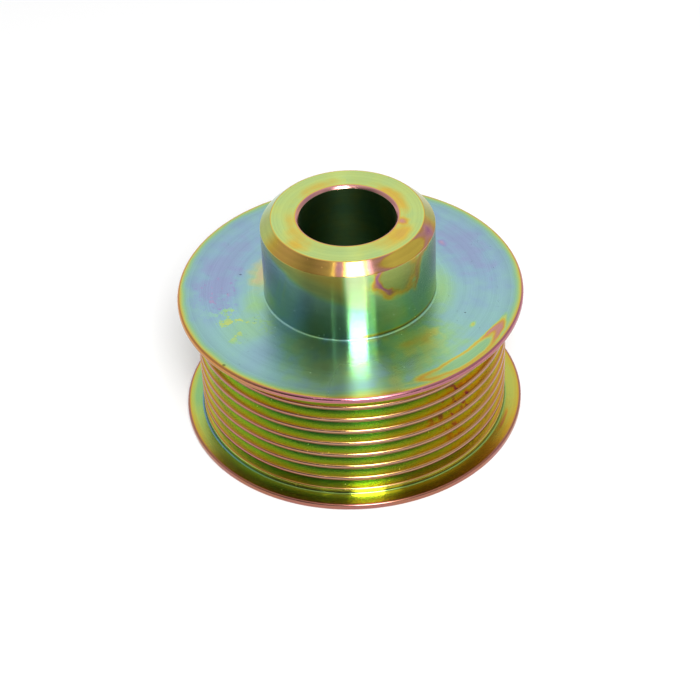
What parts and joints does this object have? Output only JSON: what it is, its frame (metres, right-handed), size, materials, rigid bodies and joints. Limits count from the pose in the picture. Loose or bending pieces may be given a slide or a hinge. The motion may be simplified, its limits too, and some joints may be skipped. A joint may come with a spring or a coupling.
{
  "type": "belt pulley",
  "caption": "Turned steel pulley with V grooves for a ribbed belt between thin flanges, a raised spacer hub with a plain shaft bore, and yellow iridescent plating.",
  "frame": {"origin": "centre of the underside, the flat ring that the pulley stands on", "axes": "+Z along the shaft axis, from the belt section towards the hub"},
  "size_m": [0.0806, 0.0806, 0.0538],
  "materials": {
    "plated_steel": "turned steel under yellow-green iridescent zinc chromate plating"
  },
  "bodies": {
    "root": {"pulley": "plated_steel"}
  },
  "joints": []
}
